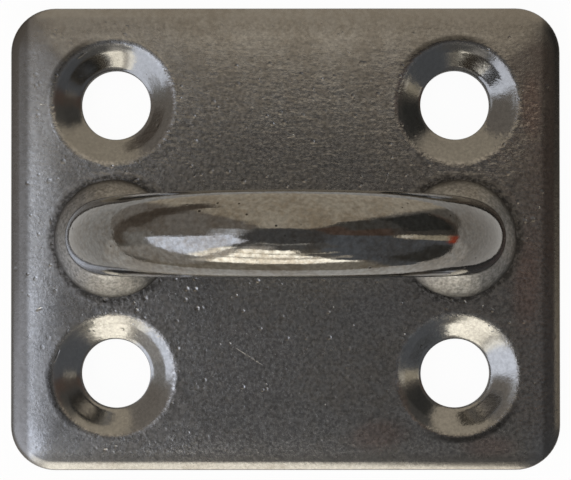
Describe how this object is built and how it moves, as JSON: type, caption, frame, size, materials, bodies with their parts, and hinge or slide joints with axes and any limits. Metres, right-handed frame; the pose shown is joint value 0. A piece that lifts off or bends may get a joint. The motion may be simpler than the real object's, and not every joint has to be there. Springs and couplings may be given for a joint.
{
  "type": "fairlead",
  "caption": "Small deck fairlead: a pressed stainless plate with a turned-down rim and dimpled countersunk screw seats, and a round rod bow whose legs are welded into it, as an eye for a line.",
  "frame": {"origin": "centre of the plate on the mounting plane", "axes": "+Z out of the plate towards the bow's crown, +X along the plate's length and across the bow, +Y across the plate, along the line that runs through the eye"},
  "size_m": [0.038, 0.032, 0.019],
  "materials": {
    "plate_steel": "pressed stainless sheet, tumble polished, satin with fine pitting",
    "polished_rod": "round stainless rod, mirror polished with light polishing marks",
    "weld_steel": "smooth satin fillet weld with a dark toe and a faint heat tint"
  },
  "bodies": {
    "root": {"base_plate": "plate_steel", "bow": "polished_rod", "weld_bead_left": "weld_steel", "weld_bead_right": "weld_steel"}
  },
  "joints": []
}
